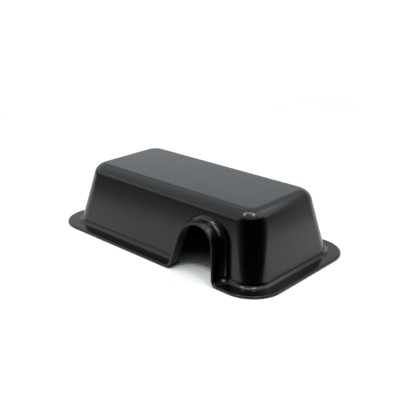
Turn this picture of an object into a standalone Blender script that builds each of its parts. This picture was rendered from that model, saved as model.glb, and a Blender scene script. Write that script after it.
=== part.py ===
"""Bait station: a vacuum-formed cover over a bait tray with two rods of bait blocks.

Metres, +Z up. The origin is on the floor, at the centre of the cover's flange.
+X runs along the cover towards the end with the entrance, which opens to -Y.
"""

import math

import bmesh
import bpy

MM = 0.001

# Cover: one sheet, drawn over a mould and trimmed
COVER_LENGTH = 280 * MM         # over the flange, along X
COVER_WIDTH = 155 * MM          # over the flange, along Y
COVER_HEIGHT = 67 * MM
SHEET = 2.4 * MM
DRAFT = math.radians(12)        # how far every wall leans in
FLANGE_REACH = 14 * MM          # from the flange's edge to where the wall's face meets the floor
FLANGE_CORNER = 32.5 * MM
WALL_CORNER = 20 * MM
TOP_FILLET = 14 * MM
FOOT_FILLET = 5 * MM            # where the walls, and the tunnel, turn into each other and the flange

# Entrance: a short tunnel drawn out of the front wall, as far as the flange's edge
ENTRANCE_FROM_END = 79 * MM     # from the cover's +X end to the middle of the entrance
ENTRANCE_WIDTH = 52.5 * MM      # clear width at the floor
ENTRANCE_DRAFT = math.radians(11)
ENTRANCE_TOP_LAND = 1.3 * MM    # flat wall left between the tunnel's fillet and the top fillet
ENTRANCE_FOOT = 5.6 * MM        # radius between the tunnel's legs and the flange

# Bait blocks, extruded wax with a hole along them
BLOCKS_PER_ROD = 3
BLOCK_LENGTH = 30 * MM
BLOCK_WIDTH = 26 * MM
BLOCK_EDGE = 3 * MM
BLOCK_HOLE = 7 * MM
BLOCK_SPACING = 2 * MM
BLOCK_AISLE = 22 * MM           # between the two rows of blocks

# Rods, bent up at the end that is pulled
ROD_DIAMETER = 4 * MM
ROD_HEIGHT = 24 * MM
ROD_TAIL = 5 * MM               # how far a rod stands out behind the far rack
ROD_NOSE = 6 * MM               # straight length in front of the near rack
ROD_BEND = 5 * MM
ROD_HANDLE = 11 * MM

# Tray
TRAY_WALL = 2 * MM
TRAY_DEPTH = 10 * MM
TRAY_CORNER = 12 * MM
TRAY_END_SPACE = 9 * MM         # from a rack to the tray's nearer end
RACK_THICKNESS = 3 * MM
LUG_RADIUS = 8 * MM
LUG_FOOT = 15 * MM              # half the width of a lug where it stands on the tray

# Clearances
TOUCH = 0.3 * MM                # between pieces that rest on each other
ROD_CLEARANCE = 0.4 * MM        # round a rod in its rack
TRAY_CLEARANCE = 4 * MM         # from the tray to the cover's inner face

CORNER_STEPS = 6
FILLET_STEPS = 4
CROWN_STEPS = 16
HOLE_SIDES = 24

# What follows from the sizes above
LEAN = math.tan(DRAFT)
WALL_TOP = COVER_HEIGHT - TOP_FILLET * (1 - math.sin(DRAFT))
ENTRANCE_X = COVER_LENGTH / 2 - ENTRANCE_FROM_END
RACK_GAP = BLOCKS_PER_ROD * BLOCK_LENGTH + (BLOCKS_PER_ROD + 1) * BLOCK_SPACING
TRAY_LENGTH = RACK_GAP + 2 * (RACK_THICKNESS + TRAY_END_SPACE)
ROD_Y = (BLOCK_AISLE + BLOCK_WIDTH) / 2


def wall_inset(height):
    """How far in from the flange's edge the walls' outer face is at a height."""
    return FLANGE_REACH + LEAN * height


def inner_inset(height):
    """The same for the walls' inner face."""
    return wall_inset(height) + SHEET / math.cos(DRAFT)


TRAY_LEFT = inner_inset(TRAY_DEPTH) - COVER_LENGTH / 2 + TRAY_CLEARANCE
TRAY_HALF_WIDTH = COVER_WIDTH / 2 - inner_inset(TRAY_DEPTH) - TRAY_CLEARANCE
FAR_RACK_X = TRAY_LEFT + TRAY_END_SPACE + RACK_THICKNESS / 2
NEAR_RACK_X = FAR_RACK_X + RACK_GAP + RACK_THICKNESS


def clear_scene():
    for obj in list(bpy.data.objects):
        bpy.data.objects.remove(obj, do_unlink=True)


def new_collection(name):
    found = bpy.data.collections.get(name) or bpy.data.collections.new(name)
    if name not in bpy.context.scene.collection.children:
        bpy.context.scene.collection.children.link(found)
    return found


def plastic(name, colour, roughness):
    material = bpy.data.materials.new(name)
    material.use_nodes = True
    shader = material.node_tree.nodes["Principled BSDF"]
    shader.inputs["Base Color"].default_value = (*colour, 1)
    shader.inputs["Roughness"].default_value = roughness
    return material


def metal(name, colour, roughness):
    material = plastic(name, colour, roughness)
    material.node_tree.nodes["Principled BSDF"].inputs["Metallic"].default_value = 1
    return material


def object_from(name, shape, collection, material=None):
    """A mesh object from a bmesh, which it uses up."""
    mesh = bpy.data.meshes.new(name)
    shape.to_mesh(mesh)
    shape.free()
    obj = bpy.data.objects.new(name, mesh)
    collection.objects.link(obj)
    if material:
        mesh.materials.append(material)
    return obj


def shade(obj, degrees=30):
    obj.data.shade_smooth()
    obj.data.set_sharp_from_angle(angle=math.radians(degrees))


def cut(obj, cutter, operation="DIFFERENCE"):
    """Cuts or joins another mesh and keeps that mesh as a hidden guide."""
    boolean = obj.modifiers.new(cutter.name, "BOOLEAN")
    boolean.operation = operation
    boolean.object = cutter
    boolean.solver = "EXACT"
    cutter.hide_render = True
    cutter.display_type = "WIRE"


# --- Cover ---------------------------------------------------------------------------------


def foot_profile(rise):
    """Sections of the fillet between a surface and the wall, where rise is the surface normal's Z.

    Each is how far the sheet has climbed off the surface, and how far in it is from the line
    where the two would meet.
    """
    slope = LEAN * rise
    secant = math.hypot(1, slope)
    turn = math.pi / 2 - math.atan(slope)
    start = FOOT_FILLET * (slope - secant)
    sections = []
    for step in range(FILLET_STEPS + 1):
        angle = turn * step / FILLET_STEPS
        sections.append((FOOT_FILLET * (1 - math.cos(angle)), start + FOOT_FILLET * math.sin(angle)))
    return sections


def rounded_ring(inset, radius, height):
    """The cover's outline, set in from the flange's edge, as its four corner arcs.

    It starts at the middle of the front, goes to +X, and comes back round the closed end.
    """
    half_x = COVER_LENGTH / 2 - inset
    half_y = COVER_WIDTH / 2 - inset
    points = []
    for quarter, (side_x, side_y) in enumerate(((1, -1), (1, 1), (-1, 1), (-1, -1))):
        for step in range(CORNER_STEPS + 1):
            angle = math.radians(90) * (quarter - 1 + step / CORNER_STEPS)
            points.append((
                side_x * (half_x - radius) + radius * math.cos(angle),
                side_y * (half_y - radius) + radius * math.sin(angle),
                height,
            ))
    return points


def entrance_outline():
    """The tunnel's outer outline in XZ from its -X foot to its +X foot, each point with its normal."""
    half = ENTRANCE_WIDTH / 2
    crown = WALL_TOP - ENTRANCE_TOP_LAND - FOOT_FILLET * (1 - math.sin(DRAFT))
    # The circle that touches both legs and the crown
    legs = (half + SHEET / math.cos(ENTRANCE_DRAFT)) * math.cos(ENTRANCE_DRAFT)
    radius = (legs - crown * math.sin(ENTRANCE_DRAFT)) / (1 - math.sin(ENTRANCE_DRAFT))
    centre = crown - radius
    foot_z = SHEET + ENTRANCE_FOOT
    foot_x = (
        radius + ENTRANCE_FOOT - (foot_z - centre) * math.sin(ENTRANCE_DRAFT)
    ) / math.cos(ENTRANCE_DRAFT)
    right = []
    for step in range(CROWN_STEPS // 2 + 1):
        angle = math.pi / 2 + (ENTRANCE_DRAFT - math.pi / 2) * step * 2 / CROWN_STEPS
        normal = (math.cos(angle), math.sin(angle))
        right.append((radius * normal[0], centre + radius * normal[1], *normal))
    for step in range(FILLET_STEPS + 1):
        angle = ENTRANCE_DRAFT + (math.pi / 2 - ENTRANCE_DRAFT) * step / FILLET_STEPS
        normal = (math.cos(angle), math.sin(angle))
        right.append((foot_x - ENTRANCE_FOOT * normal[0], foot_z - ENTRANCE_FOOT * normal[1], *normal))
    left = [(-x, z, -nx, nz) for x, z, nx, nz in reversed(right[1:])]
    return left + right


def entrance_sections():
    """The entrance's part of each ring, from the trimmed edge to where the fillet meets the wall."""
    edge = []
    fillets = [[] for _ in range(FILLET_STEPS + 1)]
    for x, z, normal_x, normal_z in entrance_outline():
        edge.append((ENTRANCE_X + x, LEAN * (z - SHEET) - COVER_WIDTH / 2, z))
        meeting = wall_inset(z) - COVER_WIDTH / 2
        for ring, (climb, inward) in zip(fillets, foot_profile(normal_z)):
            ring.append((
                ENTRANCE_X + x + climb * normal_x,
                meeting + inward,
                z + climb * normal_z,
            ))
    return [edge, *fillets]


def cover_rings():
    """Every ring of the cover's outer face, up to the wall, then from the wall over the top fillet."""
    low = [rounded_ring(0, FLANGE_CORNER, SHEET)]
    ground = wall_inset(SHEET)
    last = ground + foot_profile(1)[-1][1]
    for climb, inward in foot_profile(1):
        share = (ground + inward) / last
        radius = FLANGE_CORNER + (WALL_CORNER - FLANGE_CORNER) * share
        low.append(rounded_ring(ground + inward, radius, SHEET + climb))
    low = [ring + entrance for ring, entrance in zip(low, entrance_sections())]
    high = []
    for step in range(FILLET_STEPS + 2):
        angle = DRAFT + (math.pi / 2 - DRAFT) * step / (FILLET_STEPS + 1)
        inward = TOP_FILLET * (math.cos(DRAFT) - math.cos(angle))
        height = WALL_TOP + TOP_FILLET * (math.sin(angle) - math.sin(DRAFT))
        high.append(rounded_ring(wall_inset(WALL_TOP) + inward, WALL_CORNER - inward, height))
    return low, high


def join_rings(shape, lower, upper, closed=True):
    for i in range(len(lower) if closed else len(lower) - 1):
        j = (i + 1) % len(lower)
        shape.faces.new((lower[i], lower[j], upper[j], upper[i]))


def make_cover(collection, material):
    """The sheet's outer face, ring by ring from the trimmed edge, thickened inwards."""
    shape = bmesh.new()
    low, high = cover_rings()
    low = [[shape.verts.new(point) for point in ring] for ring in low]
    high = [[shape.verts.new(point) for point in ring] for ring in high]
    for lower, upper in zip(low, low[1:]):
        join_rings(shape, lower, upper)
    corners = len(high[0])
    join_rings(shape, low[-1][:corners], high[0], closed=False)
    # The front wall is one flat face round the tunnel
    shape.faces.new([low[-1][corners - 1], *low[-1][corners:], low[-1][0], high[0][0], high[0][-1]])
    for lower, upper in zip(high, high[1:]):
        join_rings(shape, lower, upper)
    shape.faces.new(high[-1])
    bmesh.ops.recalc_face_normals(shape, faces=shape.faces)
    cover = object_from("cover", shape, collection, material)
    sheet = cover.modifiers.new("Sheet", "SOLIDIFY")
    sheet.thickness = SHEET
    sheet.offset = -1
    sheet.use_even_offset = True
    sheet.use_quality_normals = True
    shade(cover)
    return cover


# --- Tray ----------------------------------------------------------------------------------


def make_rack(name, x, collection, guides):
    """One rack: a low wall across the tray with a lug for each rod, as a flat outline with thickness."""
    outline = bpy.data.curves.new(name, "CURVE")
    outline.dimensions = "2D"
    outline.fill_mode = "BOTH"
    outline.extrude = RACK_THICKNESS / 2
    half = TRAY_HALF_WIDTH - TRAY_WALL / 2
    base = TRAY_WALL / 2
    points = [(-half, base), (half, base), (half, TRAY_DEPTH)]
    for side in (1, -1):
        points.append((side * ROD_Y + LUG_FOOT, TRAY_DEPTH))
        for step in range(CORNER_STEPS * 2 + 1):
            angle = math.pi * step / (CORNER_STEPS * 2)
            points.append((
                side * ROD_Y + LUG_RADIUS * math.cos(angle),
                ROD_HEIGHT + LUG_RADIUS * math.sin(angle),
            ))
        points.append((side * ROD_Y - LUG_FOOT, TRAY_DEPTH))
    points.append((-half, TRAY_DEPTH))
    spline = outline.splines.new("POLY")
    spline.points.add(len(points) - 1)
    for point, (y, z) in zip(spline.points, points):
        point.co = (y, z, 0, 1)
    spline.use_cyclic_u = True
    drawn = bpy.data.objects.new(name + "_outline", outline)
    collection.objects.link(drawn)
    drawn.rotation_euler = (math.radians(90), 0, math.radians(90))
    drawn.location = (x, 0, 0)
    rack = as_mesh(drawn, name, guides)
    return rack


def as_mesh(drawn, name, collection):
    """A curve made a mesh with its caps welded, in the same place."""
    bpy.context.view_layer.update()
    graph = bpy.context.evaluated_depsgraph_get()
    mesh = bpy.data.meshes.new_from_object(drawn.evaluated_get(graph))
    shape = bmesh.new()
    shape.from_mesh(mesh)
    bmesh.ops.remove_doubles(shape, verts=shape.verts, dist=1e-6)
    bmesh.ops.recalc_face_normals(shape, faces=shape.faces)
    shape.to_mesh(mesh)
    shape.free()
    obj = bpy.data.objects.new(name, mesh)
    obj.matrix_world = drawn.matrix_world.copy()
    collection.objects.link(obj)
    bpy.data.objects.remove(drawn, do_unlink=True)
    return obj


def make_rod_bore(name, y, collection):
    """A cutter for one rod's holes, through both racks."""
    bpy.ops.mesh.primitive_cylinder_add(
        vertices=HOLE_SIDES,
        radius=ROD_DIAMETER / 2 + ROD_CLEARANCE,
        depth=RACK_GAP + 6 * RACK_THICKNESS,
        location=((FAR_RACK_X + NEAR_RACK_X) / 2, y, ROD_HEIGHT),
        rotation=(0, math.radians(90), 0),
    )
    bore = bpy.context.object
    bore.name = name
    for owner in list(bore.users_collection):
        owner.objects.unlink(bore)
    collection.objects.link(bore)
    return bore


def make_tray(collection, guides, material):
    """An open dish on the floor, its racks joined on and the rods' holes cut through them."""
    shape = bmesh.new()
    bmesh.ops.create_cube(shape, size=1)
    bmesh.ops.scale(shape, vec=(TRAY_LENGTH, 2 * TRAY_HALF_WIDTH, TRAY_DEPTH), verts=shape.verts)
    bmesh.ops.translate(shape, vec=(TRAY_LEFT + TRAY_LENGTH / 2, 0, TRAY_DEPTH / 2), verts=shape.verts)
    upright = [e for e in shape.edges if abs(e.verts[0].co.z - e.verts[1].co.z) > TRAY_DEPTH / 2]
    bmesh.ops.bevel(shape, geom=upright, offset=TRAY_CORNER, segments=CORNER_STEPS, profile=0.5, affect="EDGES")
    lid = max(shape.faces, key=lambda face: face.calc_center_median().z)
    bmesh.ops.delete(shape, geom=[lid], context="FACES_ONLY")
    tray = object_from("bait_tray", shape, collection, material)
    wall = tray.modifiers.new("Wall", "SOLIDIFY")
    wall.thickness = TRAY_WALL
    wall.offset = -1
    wall.use_even_offset = True
    for name, x in (("far_rack", FAR_RACK_X), ("near_rack", NEAR_RACK_X)):
        cut(tray, make_rack(name, x, collection, guides), "UNION")
    for name, y in (("front_bore", -ROD_Y), ("back_bore", ROD_Y)):
        cut(tray, make_rod_bore(name, y, guides))
    shade(tray)
    return tray


# --- Rods and blocks -----------------------------------------------------------------------


def make_rod(name, y, collection, material):
    """A round rod along X, its origin on its axis, with a handle bent up at the pulled end."""
    start = FAR_RACK_X - RACK_THICKNESS / 2 - ROD_TAIL
    bend = NEAR_RACK_X + RACK_THICKNESS / 2 + ROD_NOSE
    points = [(0, 0, 0), (bend - start, 0, 0)]
    for step in range(1, CORNER_STEPS + 1):
        angle = math.radians(90) * step / CORNER_STEPS
        points.append((
            bend - start + ROD_BEND * math.sin(angle),
            0,
            ROD_BEND * (1 - math.cos(angle)),
        ))
    points.append((bend - start + ROD_BEND, 0, ROD_BEND + ROD_HANDLE))
    path = bpy.data.curves.new(name, "CURVE")
    path.dimensions = "3D"
    path.bevel_depth = ROD_DIAMETER / 2
    path.bevel_resolution = 3
    path.use_fill_caps = True
    spline = path.splines.new("POLY")
    spline.points.add(len(points) - 1)
    for point, place in zip(spline.points, points):
        point.co = (*place, 1)
    path.materials.append(material)
    rod = bpy.data.objects.new(name, path)
    rod.location = (start, y, ROD_HEIGHT)
    collection.objects.link(rod)
    return rod


def make_block_mesh(material):
    """A square bar with broken edges and a round hole along it, centred on the hole."""
    shape = bmesh.new()
    bmesh.ops.create_cube(shape, size=1)
    bmesh.ops.scale(shape, vec=(BLOCK_LENGTH, BLOCK_WIDTH, BLOCK_WIDTH), verts=shape.verts)
    along = [e for e in shape.edges if abs(e.verts[0].co.x - e.verts[1].co.x) > BLOCK_LENGTH / 2]
    bmesh.ops.bevel(shape, geom=along, offset=BLOCK_EDGE, segments=3, profile=0.5, affect="EDGES")
    mesh = bpy.data.meshes.new("bait_block")
    shape.to_mesh(mesh)
    shape.free()
    mesh.materials.append(material)
    return mesh


def make_block(name, mesh, x, y, collection, guides):
    """One block, hanging on its rod by the top of its hole."""
    block = bpy.data.objects.new(name, mesh)
    block.location = (x, y, ROD_HEIGHT - (BLOCK_HOLE - ROD_DIAMETER) / 2 + TOUCH)
    collection.objects.link(block)
    bpy.ops.mesh.primitive_cylinder_add(
        vertices=HOLE_SIDES,
        radius=BLOCK_HOLE / 2,
        depth=BLOCK_LENGTH + 4 * BLOCK_SPACING,
        location=block.location,
        rotation=(0, math.radians(90), 0),
    )
    hole = bpy.context.object
    hole.name = name + "_hole"
    for owner in list(hole.users_collection):
        owner.objects.unlink(hole)
    guides.objects.link(hole)
    cut(block, hole)
    return block


def main():
    clear_scene()
    station = new_collection("bait_station")
    guides = new_collection("cutters")
    sheet_black = plastic("black_formed_sheet", (0.012, 0.012, 0.013), 0.25)
    tray_black = plastic("black_moulded_plastic", (0.02, 0.02, 0.021), 0.45)
    rod_steel = metal("zinc_plated_steel", (0.62, 0.64, 0.66), 0.35)
    wax_bait = plastic("wax_bait", (0.02, 0.16, 0.20), 0.55)

    make_cover(station, sheet_black)
    make_tray(station, guides, tray_black)
    block_mesh = make_block_mesh(wax_bait)
    for row, y in (("front", -ROD_Y), ("back", ROD_Y)):
        make_rod(f"{row}_bait_rod", y, station, rod_steel)
        for i in range(BLOCKS_PER_ROD):
            x = FAR_RACK_X + RACK_THICKNESS / 2 + BLOCK_SPACING + BLOCK_LENGTH / 2
            x += i * (BLOCK_LENGTH + BLOCK_SPACING)
            make_block(f"{row}_bait_block_{i + 1}", block_mesh, x, y, station, guides)


main()
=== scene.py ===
import math

import bmesh
import bpy
from mathutils import Matrix, Vector, noise


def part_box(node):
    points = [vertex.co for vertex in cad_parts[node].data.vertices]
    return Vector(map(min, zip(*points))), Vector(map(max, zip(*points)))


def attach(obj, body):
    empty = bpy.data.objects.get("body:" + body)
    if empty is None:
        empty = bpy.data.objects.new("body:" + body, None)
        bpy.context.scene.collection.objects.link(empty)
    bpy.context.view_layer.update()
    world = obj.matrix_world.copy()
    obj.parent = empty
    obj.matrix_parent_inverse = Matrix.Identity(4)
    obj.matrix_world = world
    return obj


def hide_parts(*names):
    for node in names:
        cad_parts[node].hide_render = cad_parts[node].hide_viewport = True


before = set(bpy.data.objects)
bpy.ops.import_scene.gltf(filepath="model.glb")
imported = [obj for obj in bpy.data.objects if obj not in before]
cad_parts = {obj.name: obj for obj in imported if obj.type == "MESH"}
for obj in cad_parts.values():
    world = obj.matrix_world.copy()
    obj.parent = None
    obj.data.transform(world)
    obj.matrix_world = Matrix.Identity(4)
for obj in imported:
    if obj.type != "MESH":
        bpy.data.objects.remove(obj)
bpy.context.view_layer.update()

mm = 0.001
weld = 0.01 * mm         # points nearer than this are made one


def linear(hexColour):
    # a hex colour as the eye sees it, turned to the linear values that the shader wants
    def channel(value):
        value /= 255
        return value / 12.92 if value <= 0.04045 else ((value + 0.055) / 1.055) ** 2.4
    return (*(channel(int(hexColour[i:i + 2], 16)) for i in (1, 3, 5)), 1)


def connect(tree, node, links):
    # joins each named socket of the node to its (node, output)
    for key, (source, output) in links.items():
        tree.links.new(source.outputs[output], node.inputs[key])


def addNode(tree, kind, settings=None, links=None, greys=()):
    # one node: settings go to its properties or sockets by name, links join its sockets to a
    # (node, output), and greys are the (position, tone) stops of a colour ramp
    node = tree.nodes.new(kind)
    for key, value in (settings or {}).items():
        if isinstance(key, str) and hasattr(node, key):
            setattr(node, key, value)
        else:
            node.inputs[key].default_value = value
    connect(tree, node, links or {})
    if greys:
        stops = node.color_ramp.elements
        while len(stops) < len(greys):
            stops.new(0.5)
        for stop, (position, tone) in zip(stops, greys):
            stop.position = position
            stop.color = (tone, tone, tone, 1)
    return node


def newMaterial(name, settings):
    # an empty material with its shader, whose constant values sit on its own sockets
    material = bpy.data.materials.new(name)
    material.use_nodes = True
    tree = material.node_tree
    shader = tree.nodes["Principled BSDF"]
    for key, value in settings.items():
        shader.inputs[key].default_value = value
    return material, tree, shader


def toObject(shape, name, materials, smoothAngle=35):
    # turns a finished bmesh into an object at the origin, smooth except over sharp corners
    mesh = bpy.data.meshes.new(name)
    shape.to_mesh(mesh)
    shape.free()
    mesh.shade_smooth()
    mesh.set_sharp_from_angle(angle=math.radians(smoothAngle))
    for material in materials:
        mesh.materials.append(material)
    piece = bpy.data.objects.new(name, mesh)
    bpy.context.scene.collection.objects.link(piece)
    return piece


def place(piece, body, slot, *nodes):
    # the piece rides on its body, and stands for its CAD nodes
    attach(piece, body)
    if nodes:
        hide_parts(*nodes)


def drawOn(shape, faces, move):
    # extrudes the faces by the move, and gives back the ones at the new end
    grown = bmesh.ops.extrude_face_region(shape, geom=faces)["geom"]
    verts = [item for item in grown if isinstance(item, bmesh.types.BMVert)]
    bmesh.ops.translate(shape, vec=move, verts=verts)
    return [item for item in grown if isinstance(item, bmesh.types.BMFace)]


print("materials")

# Vacuum-formed ABS sheet, black right through: a polished skin that mirrors the room, gone slightly
# uneven where the sheet was stretched hot, with a few dull patches from handling
sheetLook = {
    "colour": "#020202",
    "scuffed": "#0a0a0b",
    "roughness": 0.16,
    "scuffRoughness": 0.27,
    "sag": 42 * mm,              # spacing of the slow waves left by stretching
    "sagHeight": 0.10 * mm,
    "pebble": 2.4 * mm,          # the skin's pebbling, really about 0.5 mm, drawn coarser to show
    "pebbleHeight": 0.009 * mm,
    "scuff": 9 * mm,             # size of a patch
    "scuffStart": 0.60,          # how strong the patches' noise is where one starts
    "scuffFull": 0.80,           # and where it is fully dull
}


def formedSheet():
    material, tree, shader = newMaterial("vacuum_formed_ABS", {"IOR": 1.46})
    spot = addNode(tree, "ShaderNodeTexCoord")
    sag = addNode(tree, "ShaderNodeTexNoise", {
        "Scale": 1 / sheetLook["sag"], "Detail": 2.0,
    }, {"Vector": (spot, "Object")})
    scuff = addNode(tree, "ShaderNodeTexNoise", {
        "Scale": 1 / sheetLook["scuff"], "Detail": 6.0, "Roughness": 0.7, "Distortion": 1.2,
    }, {"Vector": (spot, "Object")})
    pebble = addNode(tree, "ShaderNodeTexNoise", {
        "Scale": 1 / sheetLook["pebble"], "Detail": 1.0,
    }, {"Vector": (spot, "Object")})
    worn = addNode(tree, "ShaderNodeMapRange", {
        "interpolation_type": "SMOOTHSTEP",
        "From Min": sheetLook["scuffStart"], "From Max": sheetLook["scuffFull"],
    }, {"Value": (scuff, "Fac")})
    gloss = addNode(tree, "ShaderNodeMapRange", {
        "To Min": sheetLook["roughness"], "To Max": sheetLook["scuffRoughness"],
    }, {"Value": (worn, "Result")})
    skin = addNode(tree, "ShaderNodeMix", {
        "data_type": "RGBA",
        "A": linear(sheetLook["colour"]), "B": linear(sheetLook["scuffed"]),
    }, {"Factor": (worn, "Result")})
    waves = addNode(tree, "ShaderNodeBump", {
        "Strength": 1.0, "Distance": sheetLook["sagHeight"],
    }, {"Height": (sag, "Fac")})
    grain = addNode(tree, "ShaderNodeBump", {
        "Strength": 1.0, "Distance": sheetLook["pebbleHeight"],
    }, {"Height": (pebble, "Fac"), "Normal": (waves, "Normal")})
    connect(tree, shader, {
        "Base Color": (skin, "Result"),
        "Roughness": (gloss, "Result"),
        "Normal": (grain, "Normal"),
    })
    return material


# The same sheet where the router has trimmed it: a paler, duller edge with fine cutter marks
edgeLook = {
    "colour": "#18181a",
    "dust": "#303033",
    "roughness": 0.26,
    "cutterMark": 1.3 * mm,      # really about 0.4 mm, drawn coarser to show
    "markHeight": 0.02 * mm,
}


def routedEdge():
    material, tree, shader = newMaterial("routed_ABS_edge", {
        "IOR": 1.54, "Roughness": edgeLook["roughness"],
    })
    spot = addNode(tree, "ShaderNodeTexCoord")
    marks = addNode(tree, "ShaderNodeTexNoise", {
        "Scale": 1 / edgeLook["cutterMark"], "Detail": 3.0,
    }, {"Vector": (spot, "Object")})
    tone = addNode(tree, "ShaderNodeMix", {
        "data_type": "RGBA",
        "A": linear(edgeLook["colour"]), "B": linear(edgeLook["dust"]),
    }, {"Factor": (marks, "Fac")})
    cuts = addNode(tree, "ShaderNodeBump", {
        "Strength": 1.0, "Distance": edgeLook["markHeight"],
    }, {"Height": (marks, "Fac")})
    connect(tree, shader, {"Base Color": (tone, "Result"), "Normal": (cuts, "Normal")})
    return material


# The sheet's other face, which is the inside of the cover: a matt, leathery haircell grain
insideLook = {
    "colour": "#030303",
    "rubbed": "#080808",
    "roughness": 0.50,
    "rubbedRoughness": 0.65,
    "rubbedPatch": 9 * mm,
    "haircell": 1.6 * mm,        # really about 0.6 mm, drawn coarser to show
    "haircellHeight": 0.05 * mm,
}


def haircellFace():
    material, tree, shader = newMaterial("haircell_ABS_inside", {"IOR": 1.46})
    spot = addNode(tree, "ShaderNodeTexCoord")
    cells = addNode(tree, "ShaderNodeTexVoronoi", {
        "feature": "SMOOTH_F1", "Scale": 1 / insideLook["haircell"],
    }, {"Vector": (spot, "Object")})
    patches = addNode(tree, "ShaderNodeTexNoise", {
        "Scale": 1 / insideLook["rubbedPatch"], "Detail": 4.0,
    }, {"Vector": (spot, "Object")})
    tone = addNode(tree, "ShaderNodeMix", {
        "data_type": "RGBA",
        "A": linear(insideLook["colour"]), "B": linear(insideLook["rubbed"]),
    }, {"Factor": (patches, "Fac")})
    matt = addNode(tree, "ShaderNodeMapRange", {
        "To Min": insideLook["roughness"], "To Max": insideLook["rubbedRoughness"],
    }, {"Value": (patches, "Fac")})
    leather = addNode(tree, "ShaderNodeBump", {
        "Strength": 1.0, "Distance": insideLook["haircellHeight"],
    }, {"Height": (cells, "Distance")})
    connect(tree, shader, {
        "Base Color": (tone, "Result"),
        "Roughness": (matt, "Result"),
        "Normal": (leather, "Normal"),
    })
    return material


formedAbs = formedSheet()
routedAbs = routedEdge()
haircellAbs = haircellFace()

print("cover")

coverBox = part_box("cover")
cover = {
    "length": coverBox[1].x - coverBox[0].x,
    "width": coverBox[1].y - coverBox[0].y,
    "height": coverBox[1].z - coverBox[0].z,
    "sheet": 2.4 * mm,
    "draft": math.radians(12),
    "flangeReach": 14 * mm,      # from the trimmed edge to where the wall would meet the floor
    "flangeCorner": 32.5 * mm,
    "wallCorner": 20 * mm,
    "topFillet": 14 * mm,
    "footFillet": 5 * mm,
    "entranceX": coverBox[1].x - 79 * mm,
    "entranceWidth": 52.5 * mm,
    "entranceDraft": math.radians(11),
    "entranceLand": 1.3 * mm,    # flat wall between the tunnel's fillet and the top fillet
    "entranceFoot": 5.6 * mm,    # radius between the tunnel's legs and the flange
    "cornerSteps": 20,
    "footSteps": 9,
    "topSteps": 12,
    "crownSteps": 56,
    "edgeRound": 1.15 * mm,      # rounding of the trimmed edge's two corners
    "edgeSteps": 4,
    "edgeAngle": math.radians(60),
    # loops that keep the shading of a flat part flat, as distances from where it ends
    "edgeHold": 2.2 * mm,
    "filletHold": 1.2 * mm,
    "frontHold": 0.5 * mm,
}
lean = math.tan(cover["draft"])
wallTop = cover["height"] - cover["topFillet"] * (1 - math.sin(cover["draft"]))


def wallInset(height):
    # how far in from the flange's edge the wall's outer face is
    return cover["flangeReach"] + lean * height


def footSections(rise):
    # the fillet from a surface into the wall, as climb off the surface and depth past the line
    # where the two would meet; rise is how far up the surface faces, from 0 to 1
    slope = lean * rise
    turn = math.pi / 2 - math.atan(slope)
    start = cover["footFillet"] * (slope - math.hypot(1, slope))
    angles = [turn * step / cover["footSteps"] for step in range(cover["footSteps"] + 1)]
    return [
        (cover["footFillet"] * (1 - math.cos(angle)), start + cover["footFillet"] * math.sin(angle))
        for angle in angles
    ]


def outline(inset, radius, height):
    # the cover from above, in from the flange's edge: four corner arcs, from the front right
    points = []
    for quarter, (sideX, sideY) in enumerate(((1, -1), (1, 1), (-1, 1), (-1, -1))):
        centre = Vector((
            sideX * (cover["length"] / 2 - inset - radius),
            sideY * (cover["width"] / 2 - inset - radius),
            height,
        ))
        for step in range(cover["cornerSteps"] + 1):
            angle = math.pi / 2 * (quarter - 1 + step / cover["cornerSteps"])
            points.append(centre + radius * Vector((math.cos(angle), math.sin(angle), 0)))
    return points


def archOutline():
    # the tunnel from the front, as points with their outward directions, from foot to foot
    draft = cover["entranceDraft"]
    land = cover["entranceLand"] + cover["footFillet"] * (1 - math.sin(cover["draft"]))
    crown = wallTop - land
    leg = cover["entranceWidth"] / 2 * math.cos(draft) + cover["sheet"]
    radius = (leg - crown * math.sin(draft)) / (1 - math.sin(draft))
    centre = crown - radius
    foot = cover["entranceFoot"]
    footZ = cover["sheet"] + foot
    footX = (radius + foot - (footZ - centre) * math.sin(draft)) / math.cos(draft)
    half = cover["crownSteps"] // 2
    right = []
    for step in range(half + 1):
        angle = math.pi / 2 + (draft - math.pi / 2) * step / half
        out = Vector((math.cos(angle), 0, math.sin(angle)))
        right.append((Vector((0, 0, centre)) + radius * out, out))
    for step in range(cover["footSteps"] + 1):
        angle = draft + (math.pi / 2 - draft) * step / cover["footSteps"]
        out = Vector((math.cos(angle), 0, math.sin(angle)))
        right.append((Vector((footX, 0, footZ)) - foot * out, out))
    left = [(Vector((-p.x, 0, p.z)), Vector((-n.x, 0, n.z))) for p, n in reversed(right[1:])]
    return left + right


def archSections():
    # the tunnel's share of each ring: the trimmed edge, then the fillet into the wall
    middle = Vector((cover["entranceX"], -cover["width"] / 2, 0))
    rings = [[] for step in range(cover["footSteps"] + 2)]
    for point, out in archOutline():
        spot = middle + point
        rings[0].append(spot + Vector((0, lean * (point.z - cover["sheet"]), 0)))
        for ring, (climb, depth) in zip(rings[1:], footSections(out.z)):
            ring.append(spot + climb * out + Vector((0, wallInset(point.z) + depth, 0)))
    return rings


def extrudeTo(shape, verts, points, closed):
    # extrudes the chain's edges and moves the new chain to its points
    chain = list(zip(verts, verts[1:] + verts[:1] if closed else verts[1:]))
    edges = [shape.edges.get(pair) or shape.edges.new(pair) for pair in chain]
    made = bmesh.ops.extrude_edge_only(shape, edges=edges)["geom"]
    fresh = {item for item in made if isinstance(item, bmesh.types.BMVert)}
    moved = []
    for vert, point in zip(verts, points):
        twin = next(e.other_vert(vert) for e in vert.link_edges if e.other_vert(vert) in fresh)
        twin.co = point
        moved.append(twin)
    return moved


def partWay(start, end, distance):
    # a ring that lies the given distance from the first one, towards the second
    return [here + (there - here).normalized() * distance for here, there in zip(start, end)]


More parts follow.
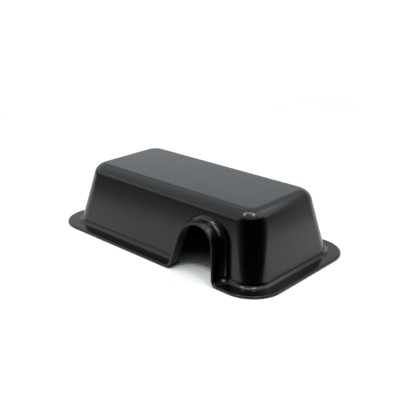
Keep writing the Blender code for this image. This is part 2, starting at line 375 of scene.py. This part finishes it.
def flangeRings():
    # rings from the trimmed edge to the top of the foot fillet, each with the tunnel's share last
    arch = archSections()
    ground = wallInset(cover["sheet"])
    foot = footSections(1)
    reach = ground + foot[-1][1]
    rings = [outline(0, cover["flangeCorner"], cover["sheet"]) + arch[0]]
    for (climb, depth), archRing in zip(foot, arch[1:]):
        share = (ground + depth) / reach
        radius = cover["flangeCorner"] + (cover["wallCorner"] - cover["flangeCorner"]) * share
        rings.append(outline(ground + depth, radius, cover["sheet"] + climb) + archRing)
    # two holding loops keep the flange flat between its rounded edge and the foot fillet
    rings[1:1] = [
        partWay(rings[0], rings[1], cover["edgeHold"]),
        partWay(rings[1], rings[0], cover["filletHold"]),
    ]
    return rings


def coverSkin():
    # the outer face: from the trimmed edge up the foot fillet and the walls, over the top fillet
    shape = bmesh.new()
    edge, *rings = flangeRings()
    verts = [shape.verts.new(point) for point in edge]
    for ring in rings:
        verts = extrudeTo(shape, verts, ring, closed=True)
    corners = 4 * (cover["cornerSteps"] + 1)
    arch = verts[corners:]
    columns = [verts[:corners]]
    hold = cover["filletHold"]
    for height in (verts[0].co.z + hold, wallTop - hold, wallTop):
        ring = outline(wallInset(height), cover["wallCorner"], height)
        columns.append(extrudeTo(shape, columns[-1], ring, closed=False))
    # the front wall is one flat face round the tunnel
    frontLeft = [column[-1] for column in reversed(columns)]
    frontRight = [column[0] for column in columns]
    front = shape.faces.new(frontLeft + arch + frontRight)
    verts = columns[-1]
    for step in range(1, cover["topSteps"] + 1):
        angle = cover["draft"] + (math.pi / 2 - cover["draft"]) * step / cover["topSteps"]
        depth = cover["topFillet"] * (math.cos(cover["draft"]) - math.cos(angle))
        height = wallTop + cover["topFillet"] * (math.sin(angle) - math.sin(cover["draft"]))
        ring = outline(wallInset(wallTop) + depth, cover["wallCorner"] - depth, height)
        verts = extrudeTo(shape, verts, ring, closed=True)
    top = shape.faces.new(verts)
    bmesh.ops.recalc_face_normals(shape, faces=shape.faces)
    for flat, width in ((front, cover["frontHold"]), (top, cover["filletHold"])):
        bmesh.ops.inset_region(shape, faces=[flat], thickness=width, use_even_offset=True)
    return shape


def makeCover():
    piece = toObject(coverSkin(), "formed_cover", [formedAbs, routedAbs, haircellAbs])
    sheet = piece.modifiers.new("sheet", "SOLIDIFY")
    sheet.thickness = cover["sheet"]
    sheet.offset = -1
    sheet.use_even_offset = True
    sheet.use_quality_normals = True
    sheet.material_offset_rim = 1
    sheet.material_offset = 2
    edge = piece.modifiers.new("trimmed edge", "BEVEL")
    edge.limit_method = "ANGLE"
    edge.angle_limit = cover["edgeAngle"]
    edge.width = cover["edgeRound"]
    edge.segments = cover["edgeSteps"]
    edge.material = 0
    place(piece, "cover", "formed_sheet", "cover")


makeCover()

print("bait tray")

# Injection-moulded polypropylene: black, satin from a spark-eroded mould, with soft flow swirls
trayLook = {
    "colour": "#0c0c0d",
    "swirl": "#151516",
    "roughness": 0.36,
    "swirlRoughness": 0.50,
    "texture": 0.9 * mm,         # the mould's spark marks, really about 0.2 mm, drawn coarser
    "textureHeight": 0.03 * mm,
    "flow": 30 * mm,
}


def mouldedTray():
    material, tree, shader = newMaterial("spark_textured_PP", {"IOR": 1.49})
    spot = addNode(tree, "ShaderNodeTexCoord")
    flow = addNode(tree, "ShaderNodeTexNoise", {
        "Scale": 1 / trayLook["flow"], "Detail": 4.0, "Distortion": 2.0,
    }, {"Vector": (spot, "Object")})
    spark = addNode(tree, "ShaderNodeTexNoise", {
        "Scale": 1 / trayLook["texture"], "Detail": 2.0,
    }, {"Vector": (spot, "Object")})
    tone = addNode(tree, "ShaderNodeMix", {
        "data_type": "RGBA",
        "A": linear(trayLook["colour"]), "B": linear(trayLook["swirl"]),
    }, {"Factor": (flow, "Fac")})
    satin = addNode(tree, "ShaderNodeMapRange", {
        "To Min": trayLook["roughness"], "To Max": trayLook["swirlRoughness"],
    }, {"Value": (flow, "Fac")})
    pits = addNode(tree, "ShaderNodeBump", {
        "Strength": 1.0, "Distance": trayLook["textureHeight"],
    }, {"Height": (spark, "Fac")})
    connect(tree, shader, {
        "Base Color": (tone, "Result"),
        "Roughness": (satin, "Result"),
        "Normal": (pits, "Normal"),
    })
    return material


sparkPp = mouldedTray()
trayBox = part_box("bait_tray")
tray = {
    "left": trayBox[0].x,
    "right": trayBox[1].x,
    "halfWidth": trayBox[1].y,
    "depth": 10 * mm,
    "wall": 2 * mm,
    "corner": 12 * mm,
    "cornerSteps": 14,
    "footRound": 3 * mm,
    "footSteps": 4,
    "edgeRound": 0.5 * mm,
}


def softenEdges(piece, width, segments=3, angle=50):
    soft = piece.modifiers.new("soft edges", "BEVEL")
    soft.limit_method = "ANGLE"
    soft.angle_limit = math.radians(angle)
    soft.width = width
    soft.segments = segments


def makeDish():
    # a block with its corners and foot rounded, opened at the top and given a wall
    shape = bmesh.new()
    bmesh.ops.create_cube(shape, size=1)
    length = tray["right"] - tray["left"]
    half = tray["depth"] / 2
    bmesh.ops.scale(shape, vec=(length, 2 * tray["halfWidth"], tray["depth"]), verts=shape.verts)
    bmesh.ops.translate(shape, vec=(tray["left"] + length / 2, 0, half), verts=shape.verts)
    upright = [e for e in shape.edges if abs(e.verts[0].co.z - e.verts[1].co.z) > half]
    bmesh.ops.bevel(
        shape, geom=upright, offset=tray["corner"], segments=tray["cornerSteps"],
        profile=0.5, affect="EDGES", material=-1,
    )
    foot = [e for e in shape.edges if max(v.co.z for v in e.verts) < half]
    bmesh.ops.bevel(
        shape, geom=foot, offset=tray["footRound"], segments=tray["footSteps"],
        profile=0.5, affect="EDGES", material=-1,
    )
    lid = max(shape.faces, key=lambda face: face.calc_center_median().z)
    bmesh.ops.delete(shape, geom=[lid], context="FACES_ONLY")
    dish = toObject(shape, "tray_dish", [sparkPp])
    wall = dish.modifiers.new("wall", "SOLIDIFY")
    wall.thickness = tray["wall"]
    wall.offset = -1
    wall.use_even_offset = True
    softenEdges(dish, tray["edgeRound"])
    place(dish, "tray", "tray_plastic", "bait_tray")


rack = {
    "thickness": 3 * mm,
    "endSpace": 9 * mm,          # from a rack to the tray's nearer end
    "rodY": 24 * mm,
    "rodZ": 24 * mm,
    "lugRadius": 8 * mm,
    "lugSteps": 24,
    "lugFoot": 15 * mm,          # half the width of a lug where it stands on the tray
    "holeRadius": 2.4 * mm,
    "holeSides": 32,
    "edgeRound": 0.4 * mm,
}


def rackOutline(shape):
    # half a rack seen along the tray: a low wall that rises to a round lug over the rod
    base = tray["wall"] / 2
    half = tray["halfWidth"] - tray["wall"] / 2
    outerFoot = rack["rodY"] + rack["lugFoot"]
    innerFoot = rack["rodY"] - rack["lugFoot"]
    corners = ((0, base), (half, base), (half, tray["depth"]), (outerFoot, tray["depth"]))
    verts = [shape.verts.new((0, y, z)) for y, z in corners]
    arc = shape.verts.new((0, rack["rodY"] + rack["lugRadius"], rack["rodZ"]))
    swept = bmesh.ops.spin(
        shape, geom=[arc], cent=(0, rack["rodY"], rack["rodZ"]), axis=(1, 0, 0),
        angle=math.pi, steps=rack["lugSteps"],
    )
    far = swept["geom_last"][0]
    inner = shape.verts.new((0, innerFoot, tray["depth"]))
    middle = shape.verts.new((0, 0, tray["depth"]))
    for pair in zip(verts, verts[1:]):
        shape.edges.new(pair)
    for pair in ((verts[-1], arc), (far, inner), (inner, middle)):
        shape.edges.new(pair)


def makeRack(name, x):
    shape = bmesh.new()
    rackOutline(shape)
    hole = bmesh.ops.create_circle(
        shape, segments=rack["holeSides"], radius=rack["holeRadius"],
    )["verts"]
    bmesh.ops.rotate(shape, matrix=Matrix.Rotation(math.pi / 2, 3, "Y"), verts=hole)
    bmesh.ops.translate(shape, vec=(0, rack["rodY"], rack["rodZ"]), verts=hole)
    bmesh.ops.mirror(shape, geom=shape.verts[:] + shape.edges[:], axis="Y", merge_dist=weld)
    bmesh.ops.remove_doubles(shape, verts=shape.verts, dist=weld)
    bmesh.ops.triangle_fill(shape, use_beauty=True, edges=shape.edges, normal=(1, 0, 0))
    drawOn(shape, shape.faces[:], (rack["thickness"], 0, 0))
    bmesh.ops.translate(shape, vec=(x - rack["thickness"] / 2, 0, 0), verts=shape.verts)
    bmesh.ops.recalc_face_normals(shape, faces=shape.faces)
    piece = toObject(shape, name, [sparkPp])
    softenEdges(piece, rack["edgeRound"])
    place(piece, "tray", "tray_plastic")


makeDish()
makeRack("far_rack", tray["left"] + rack["endSpace"] + rack["thickness"] / 2)
makeRack("near_rack", tray["right"] - rack["endSpace"] - rack["thickness"] / 2)

print("bait rods")

# Drawn steel wire with bright zinc plating: a soft metal sheen, faint lines along the draw and
# slightly cloudy plating
rodLook = {
    "colour": "#c6cacd",
    "clouded": "#a9adb0",
    "roughness": 0.20,
    "lineRoughness": 0.40,
    "drawLine": 0.35 * mm,
    "lineStretch": 50,           # how many times longer a draw line is than it is wide
    "cloud": 7 * mm,
}


def zincWire():
    material, tree, shader = newMaterial("zinc_plated_wire", {"Metallic": 1.0})
    spot = addNode(tree, "ShaderNodeTexCoord")
    across = 1 / rodLook["drawLine"]
    along = addNode(tree, "ShaderNodeMapping", {
        "Scale": (across / rodLook["lineStretch"], across, across),
    }, {"Vector": (spot, "Object")})
    lines = addNode(tree, "ShaderNodeTexNoise", {
        "Scale": 1.0, "Detail": 2.0,
    }, {"Vector": (along, "Vector")})
    cloud = addNode(tree, "ShaderNodeTexNoise", {
        "Scale": 1 / rodLook["cloud"], "Detail": 5.0,
    }, {"Vector": (spot, "Object")})
    tone = addNode(tree, "ShaderNodeMix", {
        "data_type": "RGBA",
        "A": linear(rodLook["colour"]), "B": linear(rodLook["clouded"]),
    }, {"Factor": (cloud, "Fac")})
    sheen = addNode(tree, "ShaderNodeMapRange", {
        "To Min": rodLook["roughness"], "To Max": rodLook["lineRoughness"],
    }, {"Value": (lines, "Fac")})
    connect(tree, shader, {"Base Color": (tone, "Result"), "Roughness": (sheen, "Result")})
    return material


zinc = zincWire()
rod = {
    "radius": 2 * mm,
    "sides": 24,
    "bend": 5 * mm,              # radius of the bend, at the middle of the wire
    "bendSteps": 12,
    "endRound": 0.5 * mm,
    "endSteps": 3,
}


def makeRod(name, body, node):
    # a round bar from the tail, spun up at the bend and drawn on to the top of the handle
    low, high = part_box(node)
    y = (low.y + high.y) / 2
    z = low.z + rod["radius"]
    bendStart = high.x - rod["radius"] - rod["bend"]
    shape = bmesh.new()
    ring = bmesh.ops.create_circle(
        shape, cap_ends=True, segments=rod["sides"], radius=rod["radius"],
    )["verts"]
    bmesh.ops.rotate(shape, matrix=Matrix.Rotation(math.pi / 2, 3, "Y"), verts=ring)
    bmesh.ops.translate(shape, vec=(low.x, y, z), verts=ring)
    end = drawOn(shape, shape.faces[:], (bendStart - low.x, 0, 0))
    bent = bmesh.ops.spin(
        shape, geom=end, cent=(bendStart, y, z + rod["bend"]), axis=(0, 1, 0),
        angle=-math.pi / 2, steps=rod["bendSteps"], use_merge=False,
    )
    end = [item for item in bent["geom_last"] if isinstance(item, bmesh.types.BMFace)]
    drawOn(shape, end, (0, 0, high.z - max(v.co.z for v in end[0].verts)))
    bmesh.ops.remove_doubles(shape, verts=shape.verts, dist=weld)
    # the round faces left inside the wire, at both ends of the bend, come out
    inside = []
    for face in shape.faces:
        middle = face.calc_center_median()
        if len(face.verts) > 4 and middle.x > bendStart - weld and middle.z < high.z - weld:
            inside.append(face)
    bmesh.ops.delete(shape, geom=inside, context="FACES_ONLY")
    rims = [e for e in shape.edges if any(len(face.verts) > 4 for face in e.link_faces)]
    bmesh.ops.bevel(
        shape, geom=rims, offset=rod["endRound"], segments=rod["endSteps"],
        profile=0.5, affect="EDGES", material=-1,
    )
    bmesh.ops.recalc_face_normals(shape, faces=shape.faces)
    wire = toObject(shape, name, [zinc])
    place(wire, body, "rod_steel", node)


makeRod("front_wire", "front_rod", "front_bait_rod")
makeRod("back_wire", "back_rod", "back_bait_rod")

print("bait blocks")

# Extruded wax bait, dyed blue-green and full of broken grain: waxy, slightly see-through, with
# paler flecks of cereal that leave a pitted skin
baitLook = {
    "wax": "#2f8c86",
    "deepWax": "#1f6d6b",
    "cloud": 6 * mm,
    "grain": "#b9ad74",
    "grainSize": 2.6 * mm,
    "grainShare": 0.28,          # how many of the cells hold a fleck
    "fleckEdge": 0.45,           # where a fleck starts and is full, in cells from its middle
    "fleckFull": 0.25,
    "roughness": 0.40,
    "pitRoughness": 0.68,
    "pit": 1.1 * mm,
    "pitDepth": 0.25 * mm,
}


def waxBait():
    material, tree, shader = newMaterial("extruded_wax_bait", {
        "IOR": 1.44,
        "Subsurface Weight": 0.15,
        "Subsurface Scale": 1.5 * mm,
    })
    spot = addNode(tree, "ShaderNodeTexCoord")
    cells = addNode(tree, "ShaderNodeTexVoronoi", {
        "Scale": 1 / baitLook["grainSize"], "Randomness": 1.0,
    }, {"Vector": (spot, "Object")})
    cloud = addNode(tree, "ShaderNodeTexNoise", {
        "Scale": 1 / baitLook["cloud"], "Detail": 4.0,
    }, {"Vector": (spot, "Object")})
    pits = addNode(tree, "ShaderNodeTexNoise", {
        "Scale": 1 / baitLook["pit"], "Detail": 5.0, "Roughness": 0.65,
    }, {"Vector": (spot, "Object")})
    picked = addNode(tree, "ShaderNodeSeparateColor", links={"Color": (cells, "Color")})
    chosen = addNode(tree, "ShaderNodeMath", {
        "operation": "GREATER_THAN", 1: 1 - baitLook["grainShare"],
    }, {0: (picked, "Red")})
    near = addNode(tree, "ShaderNodeMapRange", {
        "interpolation_type": "SMOOTHSTEP",
        "From Min": baitLook["fleckEdge"], "From Max": baitLook["fleckFull"],
    }, {"Value": (cells, "Distance")})
    fleck = addNode(tree, "ShaderNodeMath", {"operation": "MULTIPLY"}, {
        0: (chosen, "Value"), 1: (near, "Result"),
    })
    wax = addNode(tree, "ShaderNodeMix", {
        "data_type": "RGBA",
        "A": linear(baitLook["deepWax"]), "B": linear(baitLook["wax"]),
    }, {"Factor": (cloud, "Fac")})
    mixed = addNode(tree, "ShaderNodeMix", {
        "data_type": "RGBA", "B": linear(baitLook["grain"]),
    }, {"Factor": (fleck, "Value"), "A": (wax, "Result")})
    waxy = addNode(tree, "ShaderNodeMapRange", {
        "To Min": baitLook["roughness"], "To Max": baitLook["pitRoughness"],
    }, {"Value": (pits, "Fac")})
    skin = addNode(tree, "ShaderNodeBump", {
        "Strength": 0.8, "Distance": baitLook["pitDepth"],
    }, {"Height": (pits, "Fac")})
    connect(tree, shader, {
        "Base Color": (mixed, "Result"),
        "Roughness": (waxy, "Result"),
        "Normal": (skin, "Normal"),
    })
    return material


bait = waxBait()
block = {
    "edge": 3 * mm,
    "edgeSteps": 7,
    "sideCuts": 7,
    "hole": 3.5 * mm,
    "endEdge": 0.8 * mm,
    "endSteps": 3,
    "endAngle": math.radians(60),
    "cutUp": 10,                 # slices along the block that the unevenness moves
    "uneven": 0.22 * mm,
    "unevenSpacing": 9 * mm,
    "smoothAngle": 50,
}


def makeBlock(name, node):
    # a square bar with broken edges, pushed through a die round a pin, then cut to length
    low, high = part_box(node)
    size = high - low
    shape = bmesh.new()
    outer = bmesh.ops.create_grid(shape, x_segments=1, y_segments=1, size=0.5)["verts"]
    bmesh.ops.scale(shape, vec=(size.z, size.y, 1), verts=outer)
    bmesh.ops.bevel(
        shape, geom=outer, offset=block["edge"], segments=block["edgeSteps"],
        profile=0.5, affect="VERTICES", material=-1,
    )
    sides = [e for e in shape.edges if e.is_boundary and e.calc_length() > block["edge"]]
    bmesh.ops.subdivide_edges(shape, edges=sides, cuts=block["sideCuts"])
    bmesh.ops.delete(shape, geom=shape.faces[:], context="FACES_ONLY")
    bmesh.ops.create_circle(shape, segments=len(shape.edges), radius=block["hole"])
    bmesh.ops.bridge_loops(shape, edges=shape.edges[:])
    drawOn(shape, shape.faces[:], (0, 0, size.x))
    bmesh.ops.translate(shape, vec=(0, 0, -size.x / 2), verts=shape.verts)
    bmesh.ops.rotate(shape, matrix=Matrix.Rotation(math.pi / 2, 3, "Y"), verts=shape.verts)
    bmesh.ops.translate(shape, vec=(low + high) / 2, verts=shape.verts)
    bmesh.ops.recalc_face_normals(shape, faces=shape.faces)
    rims = [
        e for e in shape.edges
        if len(e.link_faces) == 2 and e.calc_face_angle() > block["endAngle"]
    ]
    bmesh.ops.bevel(
        shape, geom=rims, offset=block["endEdge"], segments=block["endSteps"],
        profile=0.5, affect="EDGES", material=-1,
    )
    long = [e for e in shape.edges if e.calc_length() > size.x / 2]
    bmesh.ops.subdivide_edges(shape, edges=long, cuts=block["cutUp"], use_grid_fill=True)
    # the skin sinks by up to the unevenness, so the block stays inside its CAD solid
    for vert in shape.verts:
        wander = noise.noise(vert.co / block["unevenSpacing"])
        vert.co -= vert.normal * block["uneven"] * (0.5 + 0.5 * wander)
    lump = toObject(shape, name, [bait], block["smoothAngle"])
    place(lump, "tray", "wax_bait", node)


for row in ("front", "back"):
    for number in (1, 2, 3):
        makeBlock(f"{row}_wax_{number}", f"{row}_bait_block_{number}")

print("studio")

# A board painted matt white: an even pale floor with no shine
table = {
    "colour": "#eeeeee",
    "roughness": 0.9,
    "near": 0.28,                # each side's distance in metres from the object's middle
    "far": 0.60,
    "left": 0.58,
    "right": 0.40,
    "bearing": math.radians(52),
}


def makeFloor():
    # the near edge is about square to the camera
    shape = bmesh.new()
    bmesh.ops.create_grid(shape, x_segments=1, y_segments=1, size=1)
    depth = table["near"] + table["far"]
    width = table["left"] + table["right"]
    bmesh.ops.scale(shape, vec=(width / 2, depth / 2, 1), verts=shape.verts)
    middle = (width / 2 - table["left"], depth / 2 - table["near"], 0)
    bmesh.ops.translate(shape, vec=middle, verts=shape.verts)
    bmesh.ops.rotate(shape, matrix=Matrix.Rotation(table["bearing"], 3, "Z"), verts=shape.verts)
    paint = newMaterial("matt_painted_board", {
        "Base Color": linear(table["colour"]), "Roughness": table["roughness"],
    })[0]
    toObject(shape, "floor", [paint])


# A pale room that is dark behind the camera. Angles are in degrees and tones in linear light
room = {
    # how bright the walls are, by compass bearing: 0 is the object's back, 90 its right end
    "walls": (
        (-180, 0.05), (-170, 0.10), (-160, 0.19), (-143, 0.30), (-100, 0.36), (-72, 0.74),
        (-50, 0.86), (-20, 0.92), (20, 0.85), (38, 0.55), (50, 0.34), (62, 0.14), (75, 0.03),
        (90, 0.005), (165, 0.005), (180, 0.05),
    ),
    # the height at which the walls give way to the ceiling, by bearing
    "wallTops": (
        (-180, 47), (-160, 42), (-145, 14), (-90, 13), (-60, 38), (10, 38), (22, 50), (55, 50),
        (75, 47), (180, 47),
    ),
    "wallTopSoftness": 0.12,
    # the ceiling's tone by height, and a darker band round the whole room
    "ceiling": ((8, 0.8), (20, 1.5), (36, 1.7), (45, 1.1), (60, 1.0), (80, 1.2), (90, 2.2)),
    "band": ((22, 1.0), (27, 0.62), (37, 0.62), (45, 1.0)),
    "tint": (0.94, 1.0, 1.04, 1),
    "backdrop": (1.1, 1.1, 1.1, 1),   # the plain white that the camera sees past the table
}


def upward(angle):
    # the Z of a direction that looks up by the angle
    return math.sin(math.radians(angle))


def lightRoom():
    world = bpy.data.worlds.new("pale_room")
    bpy.context.scene.world = world
    world.use_nodes = True
    tree = world.node_tree
    tree.nodes.clear()
    way = addNode(tree, "ShaderNodeTexCoord")
    split = addNode(tree, "ShaderNodeSeparateXYZ", links={"Vector": (way, "Generated")})
    bearing = addNode(tree, "ShaderNodeMath", {"operation": "ARCTAN2"}, {
        0: (split, "X"), 1: (split, "Y"),
    })
    turn = addNode(tree, "ShaderNodeMapRange", {
        "From Min": -math.pi, "From Max": math.pi,
    }, {"Value": (bearing, "Value")})
    walls = addNode(tree, "ShaderNodeValToRGB", links={"Fac": (turn, "Result")}, greys=[
        (0.5 + angle / 360, tone) for angle, tone in room["walls"]
    ])
    tops = addNode(tree, "ShaderNodeValToRGB", links={"Fac": (turn, "Result")}, greys=[
        (0.5 + angle / 360, upward(height)) for angle, height in room["wallTops"]
    ])
    ceiling = addNode(tree, "ShaderNodeValToRGB", links={"Fac": (split, "Z")}, greys=[
        (upward(angle), tone) for angle, tone in room["ceiling"]
    ])
    band = addNode(tree, "ShaderNodeValToRGB", links={"Fac": (split, "Z")}, greys=[
        (upward(angle), tone) for angle, tone in room["band"]
    ])
    above = addNode(tree, "ShaderNodeMath", {"operation": "SUBTRACT"}, {
        0: (split, "Z"), 1: (tops, "Color"),
    })
    height = addNode(tree, "ShaderNodeMapRange", {
        "interpolation_type": "SMOOTHSTEP",
        "From Min": -room["wallTopSoftness"], "From Max": room["wallTopSoftness"],
    }, {"Value": (above, "Value")})
    joined = addNode(tree, "ShaderNodeMix", {"data_type": "RGBA"}, {
        "Factor": (height, "Result"), "A": (walls, "Color"), "B": (ceiling, "Color"),
    })
    dimmed = addNode(tree, "ShaderNodeMix", {
        "data_type": "RGBA", "blend_type": "MULTIPLY", "Factor": 1.0,
    }, {"A": (joined, "Result"), "B": (band, "Color")})
    tinted = addNode(tree, "ShaderNodeMix", {
        "data_type": "RGBA", "blend_type": "MULTIPLY", "Factor": 1.0, "B": room["tint"],
    }, {"A": (dimmed, "Result")})
    rays = addNode(tree, "ShaderNodeLightPath")
    seen = addNode(tree, "ShaderNodeMix", {"data_type": "RGBA", "B": room["backdrop"]}, {
        "Factor": (rays, "Is Camera Ray"), "A": (tinted, "Result"),
    })
    light = addNode(tree, "ShaderNodeBackground", {"Strength": 1.0}, {
        "Color": (seen, "Result"),
    })
    addNode(tree, "ShaderNodeOutputWorld", links={"Surface": (light, "Background")})


# Soft lights over the table, with turns and tilts in degrees and power in watts: three strips that
# make the glint on the corner, a large bank behind, and a key light that shapes the floor's shadow
lights = {
    "left_strip": {
        "centre": (-0.245, -0.395, 1.30), "size": (0.16, 0.54), "turn": 13.6, "power": 2.65,
    },
    "right_strip": {
        "centre": (0.407, -0.020, 1.30), "size": (0.16, 0.54), "turn": 49.6, "power": 2.65,
    },
    "cross_strip": {
        "centre": (-0.054, 0.012, 1.30), "size": (0.12, 0.58), "turn": -60.9, "power": 1.7,
    },
    "bank": {
        "centre": (0.62, 0.66, 1.15), "size": (1.1, 1.1), "turn": 0, "power": 4.2,
        "tilt": (-29, 24),
    },
    "key": {
        "centre": (0.16, -0.46, 1.30), "size": (0.22, 0.22), "turn": 0, "power": 5,
        "inGloss": False,
    },
}


def softbox(name, centre, size, turn, power, tilt=(0, 0), inGloss=True):
    lamp = bpy.data.lights.new(name, "AREA")
    lamp.shape = "RECTANGLE"
    lamp.size, lamp.size_y = size
    lamp.energy = power
    box = bpy.data.objects.new(name, lamp)
    box.location = centre
    box.rotation_euler = [math.radians(angle) for angle in (*tilt, turn)]
    box.visible_glossy = inGloss
    bpy.context.scene.collection.objects.link(box)


view = {
    "place": (438.7 * mm, -478.6 * mm, 283.8 * mm),
    "down": 21.318,              # degrees below level
    "bearing": 43.17,            # degrees round from the front
    "lens": 58.25,
    "sensor": 36,
    "shift": 0.0433,
    "nearest": 10 * mm,
}


def makeCamera():
    lens = bpy.data.cameras.new("camera")
    lens.sensor_width = view["sensor"]
    lens.lens = view["lens"]
    lens.shift_x = view["shift"]
    lens.clip_start = view["nearest"]
    camera = bpy.data.objects.new("camera", lens)
    camera.location = view["place"]
    camera.rotation_euler = (math.radians(90 - view["down"]), 0, math.radians(view["bearing"]))
    bpy.context.scene.collection.objects.link(camera)
    bpy.context.scene.camera = camera


makeFloor()
lightRoom()
for name, settings in lights.items():
    softbox(name, **settings)
makeCamera()
bpy.context.scene.view_settings.view_transform = "Standard"
bpy.context.scene.view_settings.look = "None"

print("finish")
